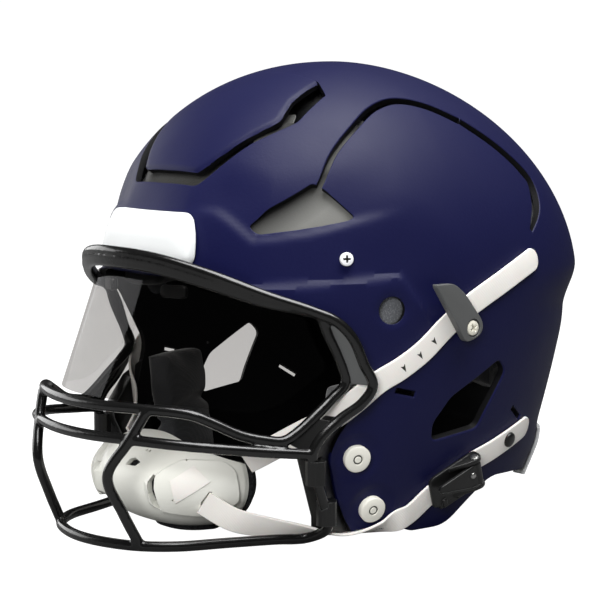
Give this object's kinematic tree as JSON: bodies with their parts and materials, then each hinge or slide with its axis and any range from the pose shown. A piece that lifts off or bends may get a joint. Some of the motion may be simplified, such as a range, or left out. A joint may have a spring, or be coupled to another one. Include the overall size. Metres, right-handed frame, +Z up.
{
  "type": "american football helmet",
  "caption": "Navy football helmet: vented shell with a crown flex panel, wire face mask with smoked visor, liner pads and a four-point chin strap with a hard cup.",
  "frame": {"origin": "on the symmetry plane, on the table plane under the jaw flaps, at the middle of the helmet's length", "axes": "+Z up, the wearer faces -Y, +X is the wearer's left"},
  "size_m": [0.251, 0.3382, 0.259],
  "materials": {
    "shell_navy": "matte navy paint over moulded polycarbonate",
    "bumper_white": "satin white moulded rubber-like plastic",
    "wire_black": "gloss black powder coat over steel wire",
    "black_plastic": "moulded black nylon",
    "pad_foam": "dark cloth over foam",
    "cup_white": "satin white moulded plastic",
    "strap_white": "satin white coated webbing",
    "steel": "brushed stainless",
    "disc_white": "off-white moulded plastic",
    "visor_smoke": "smoked polycarbonate, gloss",
    "plug_grey": "grey closed-cell foam"
  },
  "bodies": {
    "shell": {"shell": "shell_navy", "front_bumper": "bumper_white", "rear_bumper": "bumper_white", "crown_pad": "pad_foam", "front_pad": "pad_foam", "back_pad": "pad_foam", "face_mask": "wire_black", "visor": "visor_smoke", "inflation_valve": "black_plastic", "side_pad_left": "pad_foam", "side_pad_right": "pad_foam", "jaw_pad_left": "pad_foam", "jaw_pad_right": "pad_foam", "mask_clip_upper_left": "black_plastic", "mask_clip_upper_right": "black_plastic", "mask_clip_lower_left": "black_plastic", "mask_clip_lower_right": "black_plastic", "release_disc_upper_left": "disc_white", "release_disc_upper_right": "disc_white", "release_disc_lower_left": "disc_white", "release_disc_lower_right": "disc_white", "visor_clip_left": "black_plastic", "visor_clip_right": "black_plastic", "visor_screw_left": "steel", "visor_screw_right": "steel", "upper_strap_left": "strap_white", "upper_strap_right": "strap_white", "lower_strap_left": "strap_white", "lower_strap_right": "strap_white", "strap_snap_left": "black_plastic", "strap_snap_right": "black_plastic", "arm_screw_left": "steel", "arm_screw_right": "steel", "buckle_base_left": "black_plastic", "buckle_base_right": "black_plastic", "lever_pin_left": "steel", "lever_pin_right": "steel", "shell_screw_left": "disc_white", "shell_screw_right": "disc_white", "vent_backing_left": "plug_grey", "vent_backing_right": "plug_grey", "ear_plug_left": "plug_grey", "ear_plug_right": "plug_grey"},
    "flex_panel": {"flex_panel": "shell_navy"},
    "chin_cup": {"chin_cup": "cup_white", "chin_cup_liner": "pad_foam"},
    "release_pin_upper_left": {"release_pin_upper_left": "steel"},
    "release_pin_lower_left": {"release_pin_lower_left": "steel"},
    "strap_arm_left": {"strap_arm_left": "black_plastic"},
    "cam_lever_left": {"cam_lever_left": "black_plastic"},
    "release_pin_upper_right": {"release_pin_upper_right": "steel"},
    "release_pin_lower_right": {"release_pin_lower_right": "steel"},
    "strap_arm_right": {"strap_arm_right": "black_plastic"},
    "cam_lever_right": {"cam_lever_right": "black_plastic"}
  },
  "joints": [
    {"name": "flex_panel_hinge", "type": "hinge", "parent": "shell", "child": "flex_panel", "pos_m": [0, -0.02622, 0.25133], "axis": [1, 0, 0], "range_deg": [0, 3], "stiffness_Nm_per_rad": 60},
    {"name": "chin_cup_slide", "type": "slide", "parent": "shell", "child": "chin_cup", "axis": [0, -1, 0], "range_m": [-0.006, 0.008]},
    {"name": "release_pin_upper_left_push", "type": "slide", "parent": "shell", "child": "release_pin_upper_left", "axis": [-0.9289, 0.3091, 0.2041], "range_m": [0, 0.0015], "stiffness_N_per_m": 400},
    {"name": "release_pin_lower_left_push", "type": "slide", "parent": "shell", "child": "release_pin_lower_left", "axis": [-0.9404, 0.2007, 0.2745], "range_m": [0, 0.0015], "stiffness_N_per_m": 400},
    {"name": "strap_arm_left_swing", "type": "hinge", "parent": "shell", "child": "strap_arm_left", "pos_m": [0.11742, 0.01204, 0.115], "axis": [-1, 0, 0], "range_deg": [0, 85]},
    {"name": "cam_lever_left_open", "type": "hinge", "parent": "shell", "child": "cam_lever_left", "pos_m": [0.11248, 0.0271, 0.0323], "axis": [0.2418, -0.4239, 0.8728], "range_deg": [0, 95]},
    {"name": "release_pin_upper_right_push", "type": "slide", "parent": "shell", "child": "release_pin_upper_right", "axis": [0.9289, 0.3091, 0.2041], "range_m": [0, 0.0015], "stiffness_N_per_m": 400},
    {"name": "release_pin_lower_right_push", "type": "slide", "parent": "shell", "child": "release_pin_lower_right", "axis": [0.9404, 0.2007, 0.2745], "range_m": [0, 0.0015], "stiffness_N_per_m": 400},
    {"name": "strap_arm_right_swing", "type": "hinge", "parent": "shell", "child": "strap_arm_right", "pos_m": [-0.11742, 0.01204, 0.115], "axis": [-1, 0, 0], "range_deg": [0, 85]},
    {"name": "cam_lever_right_open", "type": "hinge", "parent": "shell", "child": "cam_lever_right", "pos_m": [-0.11248, 0.0271, 0.0323], "axis": [0.2418, 0.4239, -0.8728], "range_deg": [0, 95]}
  ]
}
